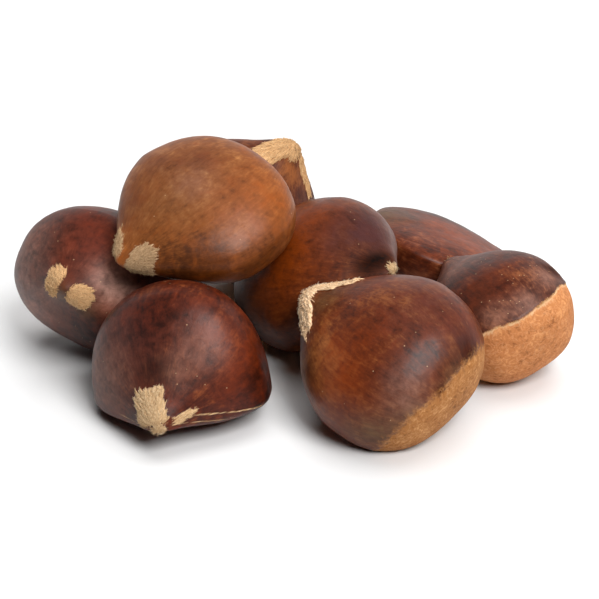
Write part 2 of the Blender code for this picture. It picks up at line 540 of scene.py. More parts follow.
@dataclass(frozen=True)
class ShellFinish:
    """Roasted chestnut shell: a thin woody husk that heat has dried to a satin.

    It gives the eye a dull polish, mottles that run a little from the tip to the base, patches
    of orange, plum and olive brown, and a few pale specks of dust.
    """

    deep: str
    body: str
    light: str
    rust: str = "8A3A10"
    plum: str = "43211E"
    olive: str = "5A4128"
    # the grey haze colour: dust, and painted highlights and painted grey reflections
    bloom: str = "8A6354"
    # near black of scorched spots, also used as painted shade
    char: str = "17100E"
    speck: str = "AC8A68"
    specks: float = 0.25        # share of the cells that have a speck
    speck_spacing: float = 1.7
    mottled: float = 1.2        # how strongly the mottles show
    rusty: float = 0.5          # how strongly the orange patches show
    roughness: float = 0.4

    IOR = 1.47                  # of a woody, waxy skin
    SPECULAR = 0.25
    PATCHES = Pattern(7.0, 7.0, twist=0.6)
    HUES = Pattern(4.2, 4.2, detail=4.0, rough=0.6, twist=0.8, shift=20.0)
    MOTTLES = Pattern(1.6, 1.6, detail=5.0, rough=0.62, twist=0.5, shift=3.0)
    STREAKS = Pattern(0.9, 4.0, detail=5.0, rough=0.62, shift=5.0)
    FLECKS = Pattern(0.4, 0.8, detail=2.0, shift=9.0)       # real ones are about half as wide
    WEIGHTS = (0.9, 1.0, 0.8, 0.45)     # of patches, mottles, streaks and flecks in the tone
    MIDDLE_TONE = 0.5
    TONE_MARK = 0.45            # how far a tone mark of full strength moves the tone
    BODY_SHOWS = (0.0, 0.52)    # tones where the body colour starts to show, and shows in full
    LIGHT_SHOWS = (0.44, 1.08)  # and the light one
    RUST_SHOWS = (0.48, 0.68)   # the same for the orange patches, in the pattern of hues
    SHADING = 0.3               # how far the mottles also darken and lighten the marks
    BROKEN = (0.78, 1.22)       # sums of mottles and hues where a mark is weakest and strongest
    BROKEN_TO = (0.45, 1.15)    # and its strength there
    DULLNESS = 0.16             # how far the roughness varies
    DUST_AND_SHEEN_DULLNESS = 0.1
    SOOT_AND_SHADE_DULLNESS = 0.4
    SOOT_AND_SHADE_SHINE = 0.02           # what is left of the mirroring under the near-black marks: scorched spots and painted shade
    MOTTLE_RELIEF = 0.05
    FLECK_RELIEF = 0.02
    SPECK_RADIUS = 0.12         # drawn at twice a dust grain's size, so that it shows
    SPECK_EDGE = 0.4            # how soft its edge is, either way, for its radius
    SPECK_COVER = 0.8

    def lay(self, name: str, seed: float) -> Surface:
        """Starts a nut's material with its shell.

        Args:
            name: The nut's name.
            seed: Moves every pattern on.

        Returns:
            The surface.
        """
        material = bpy.data.materials.new("roasted_shell_" + name)
        material.use_nodes = True
        material.node_tree.nodes.clear()
        patches, hues, mottles, streaks, flecks = (
            pattern.lay(material, seed)
            for pattern in (self.PATCHES, self.HUES, self.MOTTLES, self.STREAKS, self.FLECKS)
        )
        toned, bloom, soot_and_shade = (
            add_node(material, "Attribute", output="Fac", attribute_name=tint.value)
            for tint in (Tint.TONE, Tint.BLOOM, Tint.CHAR)
        )
        weights = [weight * self.mottled for weight in self.WEIGHTS]
        tone = weighed(
            material,
            self.MIDDLE_TONE - self.mottled * sum(self.WEIGHTS) / 2,
            (*zip((patches, mottles, streaks, flecks), weights), (toned, self.TONE_MARK)),
        )
        colour = cover(material, linear(self.deep), linear(self.body), tone, *self.BODY_SHOWS)
        colour = cover(material, colour, linear(self.light), tone, *self.LIGHT_SHOWS)
        colour = cover(
            material, colour, linear(self.rust), hues, *self.RUST_SHOWS, self.rusty
        )
        colour = self.tinted(material, colour, mottles, hues)
        shade = add_node(
            material,
            "MapRange",
            {"Value": tone, "To Min": 1 - self.SHADING, "To Max": 1 + self.SHADING},
            clamp=False,
        )
        colour = add_node(material, "VectorMath", {0: colour, "Scale": shade}, operation="SCALE")
        colour = self.dusted(material, colour, seed)
        roughness = weighed(
            material,
            self.roughness - self.DULLNESS / 2,
            ((hues, self.DULLNESS), (bloom, self.DUST_AND_SHEEN_DULLNESS), (soot_and_shade, self.SOOT_AND_SHADE_DULLNESS)),
        )
        height = weighed(
            material, 0.0, ((mottles, self.MOTTLE_RELIEF), (flecks, self.FLECK_RELIEF))
        )
        return Surface(material, colour, roughness, height)

    def shine(self, material: bpy.types.Material) -> bpy.types.NodeSocket:
        """How strongly the shell mirrors: hardly at all under the near-black marks, on scorched
        spots and on painted shade.
        """
        soot_and_shade = add_node(material, "Attribute", output="Fac", attribute_name=Tint.CHAR.value)
        return add_node(
            material,
            "MapRange",
            {"Value": soot_and_shade, "To Min": self.SPECULAR, "To Max": self.SOOT_AND_SHADE_SHINE},
        )

    def tinted(
        self,
        material: bpy.types.Material,
        colour: bpy.types.NodeSocket,
        mottles: bpy.types.NodeSocket,
        hues: bpy.types.NodeSocket,
    ) -> bpy.types.NodeSocket:
        """The colour with the listed marks, whose edges the patterns break up.

        Args:
            material: Where the nodes go.
            colour: The colour so far.
            mottles: The pattern of small blobs.
            hues: The pattern of larger ones.

        Returns:
            The new colour.
        """
        uneven = add_node(material, "Math", {0: mottles, 1: hues}, operation="ADD")
        (low, high), (weak, strong) = self.BROKEN, self.BROKEN_TO
        uneven = add_node(
            material,
            "MapRange",
            {"Value": uneven, "From Min": low, "From Max": high, "To Min": weak, "To Max": strong},
        )
        # the grey haze marks paint highlights and grey reflections as well as dust, and some
        # near-black marks paint shade
        for tint, ink in (
            (Tint.RUST, self.rust),
            (Tint.PLUM, self.plum),
            (Tint.OLIVE, self.olive),
            (Tint.BLOOM, self.bloom),
            (Tint.CHAR, self.char),
        ):
            mark = add_node(material, "Attribute", output="Fac", attribute_name=tint.value)
            share = add_node(
                material, "Math", {0: mark, 1: uneven}, operation="MULTIPLY", use_clamp=True
            )
            colour = add_node(
                material, "Mix", {0: share, 6: colour, 7: linear(ink)}, 2, data_type="RGBA"
            )
        return colour

    def dusted(
        self, material: bpy.types.Material, colour: bpy.types.NodeSocket, seed: float
    ) -> bpy.types.NodeSocket:
        """The colour with pale specks on it.

        Args:
            material: Where the nodes go.
            colour: The colour so far.
            seed: Moves the specks on.

        Returns:
            The new colour.
        """
        place = add_node(material, "Attribute", output="Vector", attribute_name="skin")
        place = add_node(
            material, "VectorMath", {0: place, 1: (seed, seed, 0)}, operation="ADD"
        )
        away = add_node(
            material, "TexVoronoi", {"Vector": place, "Scale": 1 / self.speck_spacing}
        )
        chosen = add_node(material, "SeparateColor", {0: away.node.outputs["Color"]})
        has_one = add_node(
            material, "Math", {0: chosen, 1: 1 - self.specks}, operation="GREATER_THAN"
        )
        radius = self.SPECK_RADIUS / self.speck_spacing
        outer, inner = radius * (1 + self.SPECK_EDGE), radius * (1 - self.SPECK_EDGE)
        near = add_node(
            material,
            "MapRange",
            {"Value": away, "From Min": outer, "From Max": inner, "To Max": has_one},
            interpolation_type="SMOOTHSTEP",
        )
        return cover(material, colour, linear(self.speck), near, 0.0, 1.0, self.SPECK_COVER)


@dataclass(frozen=True)
class StrandFinish:
    """Plant hair and torn pith: dry matt fibre that scatters light, darker at the root."""

    name: str
    root: str
    end: str
    roughness: float = 0.85
    IOR = 1.5
    SPECULAR = 0.3

    def material(self) -> bpy.types.Material:
        """The strands' material, whose attribute says how far along a strand a point is."""
        material = bpy.data.materials.new(self.name)
        material.use_nodes = True
        material.node_tree.nodes.clear()
        along = add_node(material, "Attribute", output="Fac", attribute_name="along")
        colour = cover(material, linear(self.root), linear(self.end), along, 0.0, 1.0)
        shader = add_node(
            material,
            "BsdfPrincipled",
            {
                "Base Color": colour,
                "Roughness": self.roughness,
                "IOR": self.IOR,
                "Specular IOR Level": self.SPECULAR,
            },
        )
        add_node(material, "OutputMaterial", {"Surface": shader})
        return material


@dataclass(frozen=True)
class ScarFinish:
    """The scar of the base: pale pithy tissue, torn off its cup, matt and full of fine worms."""

    deep: str = "72441C"
    body: str = "9E6736"
    pale: str = "C28E5A"
    worm: str = "CC9A68"
    rim: str = "D8B084"         # the pale torn line along the border
    rimmed: float = 0.0         # how strongly it shows
    fibres: StrandFinish = StrandFinish("torn_scar_pith", "A87844", "D8B07C")

    RAGGED = Pattern(0.9, 0.9, detail=4.0, rough=0.65, shift=31.0)
    FIBRES = Pattern(1.1, 1.1, detail=4.0, rough=0.6, twist=1.2, shift=33.0)
    BROAD = Pattern(5.0, 5.0, detail=3.0, shift=35.0)
    WORMS = Pattern(1.7, 1.7, detail=1.0, rough=0.4, twist=1.6, shift=37.0)
    BARK = Pattern(0.35, 1.2, detail=2.0, shift=13.0)
    RAGGEDNESS = 1.2            # how far the ragged pattern moves the border
    SHOWS = (0.3, 0.9)          # how far inside the border the scar starts, and shows in full
    TONE_START = -0.6           # the tone, before the fibres and the broad patches add to it
    FIBRE_TONE = 1.5
    BROAD_TONE = 0.7
    BODY_SHOWS = (0.12, 0.5)    # tones where the body colour starts to show, and shows in full
    PALE_SHOWS = (0.5, 0.88)    # and the pale one
    WORM_AT = 0.5               # the pattern's value along a worm line
    WORM_WIDTH = 0.05           # how far from that value the line still shows
    WORM_SHARE = 0.28
    RIM_AT = 0.85               # where the rim is, in the shell's torn edge
    RIM_TORN = (2.6, 1.9, 1.2)  # how much the fibres break it up, and where it starts and ends
    ROUGHNESS = 0.8
    BARK_RELIEF = 0.07

    def lay(self, surface: Surface, seed: float) -> Surface:
        """Lays the scar over the shell, inside its border.

        Args:
            surface: The nut's surface so far.
            seed: Moves the patterns on.

        Returns:
            The surface with the scar.
        """
        material = surface.material
        inside = add_node(material, "Attribute", output="Fac", attribute_name="scar")
        ragged, fibres, broad, worms, bark = (
            pattern.lay(material, seed)
            for pattern in (self.RAGGED, self.FIBRES, self.BROAD, self.WORMS, self.BARK)
        )
        edge = weighed(material, inside, ((ragged, self.RAGGEDNESS),))
        low, high = self.SHOWS
        mask = add_node(
            material, "MapRange", {"Value": edge, "From Min": low, "From Max": high},
            interpolation_type="SMOOTHSTEP",
        )
        tone = weighed(
            material, self.TONE_START, ((fibres, self.FIBRE_TONE), (broad, self.BROAD_TONE))
        )
        colour = cover(material, linear(self.deep), linear(self.body), tone, *self.BODY_SHOWS)
        colour = cover(material, colour, linear(self.pale), tone, *self.PALE_SHOWS)
        worm = self.away(material, worms, self.WORM_AT)
        colour = cover(
            material, colour, linear(self.worm), worm, self.WORM_WIDTH, 0.0, self.WORM_SHARE
        )
        torn, starts, full = self.RIM_TORN
        rim = weighed(material, self.away(material, edge, self.RIM_AT), ((fibres, torn),))
        colour = cover(material, colour, linear(self.rim), rim, starts, full, self.rimmed)
        height = add_node(material, "Math", {0: bark, 1: self.BARK_RELIEF}, operation="MULTIPLY")
        return surface.under(mask, colour, self.ROUGHNESS, height)

    def away(
        self, material: bpy.types.Material, pattern: bpy.types.NodeSocket, value: float
    ) -> bpy.types.NodeSocket:
        """How far a pattern is from a value, either way."""
        apart = add_node(material, "Math", {0: pattern, 1: value}, operation="SUBTRACT")
        return add_node(material, "Math", {0: apart}, operation="ABSOLUTE")


@dataclass(frozen=True)
class FeltFinish:
    """The felt of the tip: a mat of short silky hairs, cream where it lies thick."""

    deep: str
    body: str
    pale: str
    hairs: StrandFinish

    LOCKS = Pattern(0.5, 3.0, shift=41.0)
    STRANDS = Pattern(0.35, 1.4, shift=43.0)
    RAGGEDNESS = 0.5            # how far the locks move the edge
    SHOWS = (0.2, 0.4)          # how far inside the edge the felt starts, and shows in full
    BODY_SHOWS = (0.3, 0.5)     # where the strands' pattern starts to show the body colour
    PALE_SHOWS = (0.5, 0.72)    # and the pale one
    ROUGHNESS = 0.9
    STRAND_RELIEF = 0.15

    def lay(self, surface: Surface, seed: float) -> Surface:
        """Lays the felt over the shell, inside its patches.

        Args:
            surface: The nut's surface so far.
            seed: Moves the patterns on.

        Returns:
            The surface with the felt.
        """
        material = surface.material
        inside = add_node(material, "Attribute", output="Fac", attribute_name="felt")
        locks = self.LOCKS.lay(material, seed)
        strands = self.STRANDS.lay(material, seed)
        edge = weighed(material, inside, ((locks, self.RAGGEDNESS),))
        low, high = self.SHOWS
        mask = add_node(
            material, "MapRange", {"Value": edge, "From Min": low, "From Max": high},
            interpolation_type="SMOOTHSTEP",
        )
        colour = cover(material, linear(self.deep), linear(self.body), strands, *self.BODY_SHOWS)
        colour = cover(material, colour, linear(self.pale), strands, *self.PALE_SHOWS)
        height = add_node(
            material, "Math", {0: strands, 1: self.STRAND_RELIEF}, operation="MULTIPLY"
        )
        return surface.under(mask, colour, self.ROUGHNESS, height)


@dataclass
class Strands:
    """Many short tapered strands in one mesh."""

    width: float = 0.09         # real hairs are a third of this, too fine to show
    joints: int = 4
    sides: int = 3
    taper: float = 0.75
    ACROSS = (0.31, 0.52, 0.79)     # a direction that no strand follows, to turn its sides from

    def mesh(self, name: str, lines: np.ndarray) -> bpy.types.Mesh:
        """Skins each line with a thin tapered tube.

        Args:
            name: The mesh's name.
            lines: Points in millimetres, as strands by points by x, y and z.

        Returns:
            The mesh, in metres, with its along attribute.
        """
        count, rows, _ = lines.shape
        way = np.gradient(lines, axis=1)
        way /= np.linalg.norm(way, axis=2, keepdims=True)
        aside = np.cross(way, np.array(self.ACROSS))
        aside /= np.linalg.norm(aside, axis=2, keepdims=True)
        other = np.cross(way, aside)
        share = np.linspace(0, 1, rows)
        radius = (self.width / 2 * (1 - self.taper * share))[None, :, None]
        turns = np.arange(self.sides) * 2 * math.pi / self.sides
        rings = [
            lines + radius * (aside * math.cos(turn) + other * math.sin(turn)) for turn in turns
        ]
        points = np.stack(rings, axis=2).reshape(-1, 3)
        ring = np.arange(self.sides)
        onward = np.roll(ring, -1)
        quad = np.stack((ring, onward, self.sides + onward, self.sides + ring), axis=1)
        quads = np.concatenate([row + quad for row in np.arange(rows - 1) * self.sides])
        starts = np.arange(count)[:, None] * rows * self.sides
        sides = (starts[:, :, None] + quads[None]).reshape(-1, 4)
        last = (rows - 1) * self.sides
        ends = np.concatenate((starts + ring[::-1], starts + last + ring))
        mesh = bpy.data.meshes.new(name)
        mesh.from_pydata((points * MM).tolist(), [], sides.tolist() + ends.tolist())
        along = np.broadcast_to(share[None, :, None], (count, rows, self.sides)).ravel()
        put_numbers(mesh, "along", along)
        mesh.shade_smooth()
        return mesh


def put_numbers(mesh: bpy.types.Mesh, name: str, values: np.ndarray) -> None:
    """Stores one number, or one vector, for each point of a mesh.

    Args:
        mesh: The mesh.
        name: The attribute's name.
        values: One row for each point.
    """
    vector = values.ndim == 2
    attribute = mesh.attributes.new(name, "FLOAT_VECTOR" if vector else "FLOAT", "POINT")
    attribute.data.foreach_set("vector" if vector else "value", values.astype(np.float32).ravel())


def add_piece(
    name: str, mesh: bpy.types.Mesh, material: bpy.types.Material
) -> bpy.types.Object:
    """Makes a piece of the nut that rides on the heap's one body.

    Args:
        name: The piece's name.
        mesh: Its mesh, already in place.
        material: Its finish.

    Returns:
        The piece.
    """
    mesh.materials.append(material)
    piece = bpy.data.objects.new(name, mesh)
    bpy.context.scene.collection.objects.link(piece)
    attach(piece, BODY)
    return piece


class Ball:
    """A fine ball of even triangles, whose points every nut's skin is moved from."""

    SUBDIVISIONS = 7

    def __init__(self) -> None:
        """Makes the ball once and reads its points, its angles and its triangles."""
        bpy.ops.mesh.primitive_ico_sphere_add(subdivisions=self.SUBDIVISIONS, radius=1)
        ball = bpy.context.object
        data = ball.data
        points = np.empty(len(data.vertices) * 3, np.float32)
        data.vertices.foreach_get("co", points)
        points = points.reshape(-1, 3).astype(float)
        self.theta = np.arccos(np.clip(points[:, 2], -1, 1))
        self.phi = np.arctan2(points[:, 1], points[:, 0])
        corners = np.empty(len(data.loops), np.int32)
        data.loops.foreach_get("vertex_index", corners)
        self.faces = corners.reshape(-1, 3)
        bpy.data.objects.remove(ball, do_unlink=True)
        bpy.data.meshes.remove(data)

    def normals(self, points: np.ndarray) -> tuple[np.ndarray, np.ndarray]:
        """Directions square to a skin.

        Args:
            points: The ball's points, moved onto the skin.

        Returns:
            Unit directions, one for each point, and twice each triangle's area as a vector.
        """
        a, b, c = (points[self.faces[:, corner]] for corner in range(3))
        areas = np.cross(b - a, c - a)
        total = np.zeros_like(points)
        for corner in range(3):
            np.add.at(total, self.faces[:, corner], areas)
        return total / np.linalg.norm(total, axis=1, keepdims=True), areas


StrandMaterials = Mapping[StrandFinish, bpy.types.Material]


@dataclass
class Chestnut:
    """One roasted nut: its skin, and the strands of its felt and of its scar's border."""

    node: str
    slot: Slot
    form: NutForm
    shell: ShellFinish
    felt: FeltFinish
    border: ScarForm
    patches: Sequence[FeltPatch]
    marks: Mapping[Tint, Sequence[Mark]]
    hairs: int = 900
    felt_thick: float = 0.2
    spread: float = 0.3         # how far strands turn from straight down the nut, in radians
    scar: ScarFinish = ScarFinish()
    strands: Strands = field(default_factory=Strands)

    SEED_START = 3.0            # the first nut's seed
    SEED_STEP = 7.0             # how far on each next nut's is
    RIBS_ON, CRUMBLE_ON, BORDER_ON, FELT_ON, FRAY_ON = 30, 40, 50, 60, 70   # from that seed
    DRAW_SEED = 11
    GRAIN_RADIUS = 16.0         # the grain is as wide as on a nut of this radius
    DENTS = ((9.0, 0.12), (4.0, 0.06), (1.6, 0.02))
    RIB_SIZE = (1.1, 14.0)      # faint ribs along the shell, across and along
    RIB_HEIGHT = 0.015
    SCAR_SUNK = 0.12
    SCAR_SLOPE = (-0.25, 0.35)  # how far inside its border it starts to sink, and is sunk
    LIP = (0.06, 0.45)          # height of the shell's lip over the scar, and its width
    CRUMBLE = ((2.2, 0.04), (0.8, 0.02))
    TUFTS = (0.6, 1.8)          # size of the felt's ridges across and along
    TUFTED = (0.7, 0.6)         # the felt's mean height for its thickness, and its ridges'
    FELT_SLOPE = (-0.1, 0.5)    # how far inside its edge it starts to rise, and is risen
    FELT_EDGE = ((2.4, 1.2), (0.8, 0.7))        # size and share of the raggedness of its edge
    LOCK_NARROW = 0.4           # how wide its wanderings are, for their length
    EDGE_WANDER = ((4.0, 0.45), (1.2, 0.15))    # the same of the scar's border
    HAIRS_START = (-0.02, 0.3)  # how far inside the felt's edge hairs start, and are thick
    HAIR_LENGTH = (0.3, 0.9)
    FRAY_WIDTH = 0.22           # how far from the scar's border its strands grow
    FRAY_TUFT = 2.6             # the size of the tufts that they grow in
    FRAY_STARTS = (0.0, 0.5)
    FIBRE_LENGTH = (0.25, 0.8)
    ROOT_DEPTH = 0.03
    LIFT = (0.0, 0.1)           # how far a strand's end stands off, for its length
    ARCH = 1.6                  # over 1, the strand is raised most before its end
    CURL = 0.12                 # how far its end curls aside, for its length
    TINY = 1e-9                 # keeps a strand at the very tip from dividing by nothing

    def build(self, ball: Ball, materials: StrandMaterials) -> list[bpy.types.Object]:
        """Makes the nut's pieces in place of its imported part.

        Args:
            ball: The points that the skin is moved from.
            materials: The materials of the strands.

        Returns:
            The pieces.
        """
        seed = self.SEED_START + self.SEED_STEP * self.form.order
        points = self.form.skin(ball.theta, ball.phi)
        grain = self.grain(ball, points)
        scar = self.border.inside(self.form, points)
        scar = scar + clouds(points, self.EDGE_WANDER, seed + self.BORDER_ON)
        wander = sum(
            share * grained(grain, size * self.LOCK_NARROW, size, seed + self.FELT_ON)
            for size, share in self.FELT_EDGE
        )
        felt = np.max([one.inside(self.form, points, wander) for one in self.patches], axis=0)
        normals, _ = ball.normals(points)
        relief = self.relief(points, grain, scar, felt, seed)
        laid = self.lay_down(points + normals * relief[:, None])
        numbers = {
            "skin": points,
            "grain": grain,
            "scar": scar / self.border.softness,
            "felt": felt,
            **{tint.value: self.marked(tint, points) for tint in Tint},
        }
        skin = self.add_skin(ball, laid, numbers, seed)
        draw = np.random.default_rng(self.form.order + self.DRAW_SEED)
        hairy = smooth(*self.HAIRS_START, felt)
        hairs = self.scatter(ball, laid, hairy, draw, self.hairs, self.HAIR_LENGTH)
        tufts = smooth(*self.FRAY_STARTS, cloud(points, self.FRAY_TUFT, seed + self.FRAY_ON))
        frayed = np.exp(-((scar / self.FRAY_WIDTH) ** 2)) * tufts
        fibres = self.scatter(ball, laid, frayed, draw, self.border.frayed, self.FIBRE_LENGTH)
        felt_mesh = self.strands.mesh(self.node + "_felt", hairs)
        fray_mesh = self.strands.mesh(self.node + "_scar_fray", fibres)
        return [
            skin,
            add_piece(felt_mesh.name, felt_mesh, materials[self.felt.hairs]),
            add_piece(fray_mesh.name, fray_mesh, materials[self.scar.fibres]),
        ]

    def grain(self, ball: Ball, points: np.ndarray) -> np.ndarray:
        """Coordinates that run round the nut and, as z, away from its tip."""
        round_x = self.GRAIN_RADIUS * np.cos(ball.phi)
        round_y = self.GRAIN_RADIUS * np.sin(ball.phi)
        from_tip = np.linalg.norm(points - self.form.at(0.0, 0.0), axis=1)
        return np.stack((round_x, round_y, from_tip), axis=1)

    def marked(self, tint: Tint, points: np.ndarray) -> np.ndarray:
        """How strongly the marks of one tint show at each point."""
        amounts = (mark.amount(self.form, points) for mark in self.marks.get(tint, ()))
        return sum(amounts, np.zeros(len(points)))

    def add_skin(
        self, ball: Ball, laid: np.ndarray, numbers: Mapping[str, np.ndarray], seed: float
    ) -> bpy.types.Object:
        """Makes the skin with its finish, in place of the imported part.

        Args:
            ball: The skin's triangles.
            laid: The skin's points as they lie in the heap.
            numbers: What the finish reads at each point, by name.
            seed: Moves the finish's patterns on.

        Returns:
            The skin.
        """
        mesh = bpy.data.meshes.new(self.node + "_skin")
        mesh.from_pydata((laid * MM).tolist(), [], ball.faces.tolist())
        mesh.shade_smooth()
        for name, values in numbers.items():
            put_numbers(mesh, name, values)
        surface = self.shell.lay(self.node, seed)
        surface = self.felt.lay(self.scar.lay(surface, seed), seed)
        finish = surface.end(self.shell.IOR, self.shell.shine(surface.material))
        skin = add_piece(self.node + "_skin", mesh, finish)
        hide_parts(self.node)
        return skin

    def lay_down(self, points: np.ndarray) -> np.ndarray:
        """Points in the nut's own axes, turned and moved to where it lies, none below ground."""
        laid = points @ self.form.turn().T + self.form.place(self.node)
        laid[..., 2] = np.maximum(laid[..., 2], 0)
        return laid

    def relief(
        self,
        points: np.ndarray,
        grain: np.ndarray,
        scar: np.ndarray,
        felt: np.ndarray,
        seed: float,
    ) -> np.ndarray:
        """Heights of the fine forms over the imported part's skin.

        Args:
            points: The skin, in the nut's own axes.
            grain: The coordinates along the grain.
            scar: How far each point is inside the scar.
            felt: How far each point is inside the felt.
            seed: Moves the noise on.

        Returns:
            The height at each point.
        """
        dents = clouds(points, self.DENTS, seed)
        ribs = self.RIB_HEIGHT * grained(grain, *self.RIB_SIZE, seed + self.RIBS_ON)
        lip_height, lip_width = self.LIP
        lip = lip_height * np.exp(-(((scar + lip_width) / lip_width) ** 2))
        crumble = clouds(points, self.CRUMBLE, seed + self.CRUMBLE_ON)
        on_scar = smooth(*self.SCAR_SLOPE, scar)
        tufts = grained(grain, *self.TUFTS, seed + self.FELT_ON)
        mean, varied = self.TUFTED
        on_felt = smooth(*self.FELT_SLOPE, felt)
        return (
            dents
            + ribs * (1 - on_scar)
            + lip * (1 - on_scar)
            + on_scar * (crumble - self.SCAR_SUNK)
            + on_felt * self.felt_thick * (mean + varied * tufts)
        )

    def scatter(
        self,
        ball: Ball,
        points: np.ndarray,
        weights: np.ndarray,
        draw: np.random.Generator,
        count: int,
        lengths: tuple[float, float],
    ) -> np.ndarray:
        """Lines of short strands that lie on the skin, away from the tip.

        Args:
            ball: The skin's triangles.
            points: The skin's points as they lie in the heap.
            weights: How thickly strands grow at each point.
            draw: The random draw.
            count: How many strands.
            lengths: The shortest and the longest.

        Returns:
            Points, as strands by points by x, y and z.
        """
        _, areas = ball.normals(points)
        size = np.linalg.norm(areas, axis=1)
        chance = size * weights[ball.faces].min(axis=1)
        chosen = draw.choice(len(size), count, p=chance / chance.sum())
        mix = draw.dirichlet((1, 1, 1), count)
        roots = (points[ball.faces[chosen]] * mix[:, :, None]).sum(axis=1)
        outward = areas[chosen] / size[chosen][:, None]
        away = roots - self.lay_down(self.form.at(0.0, 0.0))
        away = away - outward * (away * outward).sum(axis=1, keepdims=True)
        away /= np.linalg.norm(away, axis=1, keepdims=True) + self.TINY
        aside = np.cross(outward, away)
        angle = draw.normal(0, self.spread, (count, 1))
        way = away * np.cos(angle) + aside * np.sin(angle)
        length = draw.uniform(*lengths, (count, 1))
        lift = draw.uniform(*self.LIFT, (count, 1)) * length
        curl = draw.normal(0, self.CURL, (count, 1)) * length
        share = np.linspace(0, 1, self.strands.joints)[None, :, None]
        lines = (
            roots[:, None]
            - self.ROOT_DEPTH * outward[:, None]
            + way[:, None] * length[:, None] * share
            + outward[:, None] * lift[:, None] * share * (self.ARCH - share)
            + aside[:, None] * curl[:, None] * share**2
        )
        lines[..., 2] = np.maximum(lines[..., 2], self.strands.width / 2)
        return lines


@dataclass(frozen=True)
class SoftBox:
    """A square soft box that faces the middle of the heap."""

    name: str
    toward: tuple[float, float, float]          # where it hangs, seen from the heap
    distance: float                             # metres
    size: float                                 # metres
    watts: float
    mirrored: bool = True                       # whether it shows as a shine on the shells

    def hang(self) -> None:
        """Makes the light."""
        light = bpy.data.lights.new(self.name, "AREA")
        light.shape = "SQUARE"
        light.size = self.size
        light.energy = self.watts
        lamp = bpy.data.objects.new(self.name, light)
        toward = Vector(self.toward).normalized()
        lamp.location = toward * self.distance
        lamp.rotation_euler = toward.to_track_quat("Z", "Y").to_euler()
        lamp.visible_glossy = self.mirrored
        bpy.context.scene.collection.objects.link(lamp)


@dataclass
class Studio:
    """A plain white table under soft light, as for a picture on a white ground."""

    floor_size: float = 4.0                     # metres
    floor: str = "E6E6E6"
    floor_roughness: float = 0.3
    boxes: tuple[SoftBox, ...] = (
        SoftBox("key_softbox", (0.37, -0.53, 0.77), 1.6, 0.8, 29.0),
        SoftBox("overhead_softbox", (0.14, 0.3, 1.0), 1.8, 1.8, 34.0, mirrored=False),
    )
    walls: float = 0.9                          # brightness of the white walls
    ceiling: float = 0.05                       # and of the room overhead and in front
    BEHIND = (-0.8, 0.1)                        # where the walls start, from front to back
    LOW = (0.9, 0.4)                            # and from overhead down
    ACRYLIC_IOR = 1.49

    def build(self) -> None:
        """Lays the floor and hangs the lights."""
        self.lay_floor()
        for box in self.boxes:
            box.hang()
        self.light_sky()
        bpy.context.scene.view_settings.view_transform = "Standard"

    def lay_floor(self) -> None:
        """The white acrylic table: matt white that shows a trace of reflection."""
        bpy.ops.mesh.primitive_plane_add(size=self.floor_size)
        floor = bpy.context.object
        floor.name = "studio_floor"
        material = bpy.data.materials.new("white_acrylic_table")
        material.use_nodes = True
        shader = material.node_tree.nodes["Principled BSDF"]
        shader.inputs["Base Color"].default_value = linear(self.floor)
        shader.inputs["Roughness"].default_value = self.floor_roughness
        shader.inputs["IOR"].default_value = self.ACRYLIC_IOR
        floor.data.materials.append(material)

    def light_sky(self) -> None:
        """The room: white walls behind and beside the heap, dim overhead and in front."""
        world = bpy.data.worlds.new("white_room")
        world.use_nodes = True
        world.node_tree.nodes.clear()
        bpy.context.scene.world = world
        world.cycles_visibility.diffuse = False     # the walls show as shine on the shells only
        way = add_node(world, "TexCoord", output="Generated")
        parts = add_node(world, "SeparateXYZ", {0: way}).node.outputs
        wall = 1.0
        for part, (dark, bright) in (("Y", self.BEHIND), ("Z", self.LOW)):
            step = add_node(
                world,
                "MapRange",
                {"Value": parts[part], "From Min": dark, "From Max": bright},
                interpolation_type="SMOOTHSTEP",
            )
            wall = add_node(world, "Math", {0: step, 1: wall}, operation="MULTIPLY")
        strength = add_node(
            world, "MapRange", {"Value": wall, "To Min": self.ceiling, "To Max": self.walls}
        )
        light = add_node(world, "Background", {"Color": (1, 1, 1, 1), "Strength": strength})
        add_node(world, "OutputWorld", {"Surface": light})


@dataclass
class PhotoCamera:
    """The camera at the photograph's place: a long lens, a little above the heap."""

    target: tuple[float, float, float] = (0.00165, -0.00679, 0.015)     # metres
    distance: float = 0.326                                              # metres
    elevation: float = 27.6
    lens: float = 100.0
    sensor: float = 36.0
    clip: tuple[float, float] = (0.01, 20.0)                             # metres

    def build(self) -> None:
        """Makes the camera and sets it as the scene's."""
        data = bpy.data.cameras.new("photo_camera")
        data.lens = self.lens
        data.sensor_width = self.sensor
        data.clip_start, data.clip_end = self.clip
        camera = bpy.data.objects.new("photo_camera", data)
        raised = math.radians(self.elevation)
        back = Vector((0, -math.cos(raised), math.sin(raised)))
        camera.location = Vector(self.target) + back * self.distance
        camera.rotation_euler = back.to_track_quat("Z", "Y").to_euler()
        bpy.context.scene.collection.objects.link(camera)
        bpy.context.scene.camera = camera


CREAM_FELT = FeltFinish(
    "84623E", "C29D72", "E2C49C", StrandFinish("silky_cream_felt", "B29168", "EACFA8")
)
PALE_FELT = FeltFinish(
    "A6825E", "E6C096", "FAE0BE", StrandFinish("silky_pale_felt", "DAB890", "FEEACC")
)
TAN_FELT = FeltFinish(
    "86603A", "CA9C6C", "EAC494", StrandFinish("silky_tan_felt", "BC9262", "F0CC9C")
)
GREY_FELT = FeltFinish(
    "705438", "A2825F", "C8A680", StrandFinish("silky_grey_felt", "947554", "CEAE86")
)

WORMY_SCAR = ScarFinish("8A522B", "B67444", "D2925C", "DCA676", "DCB88C", 0.7)
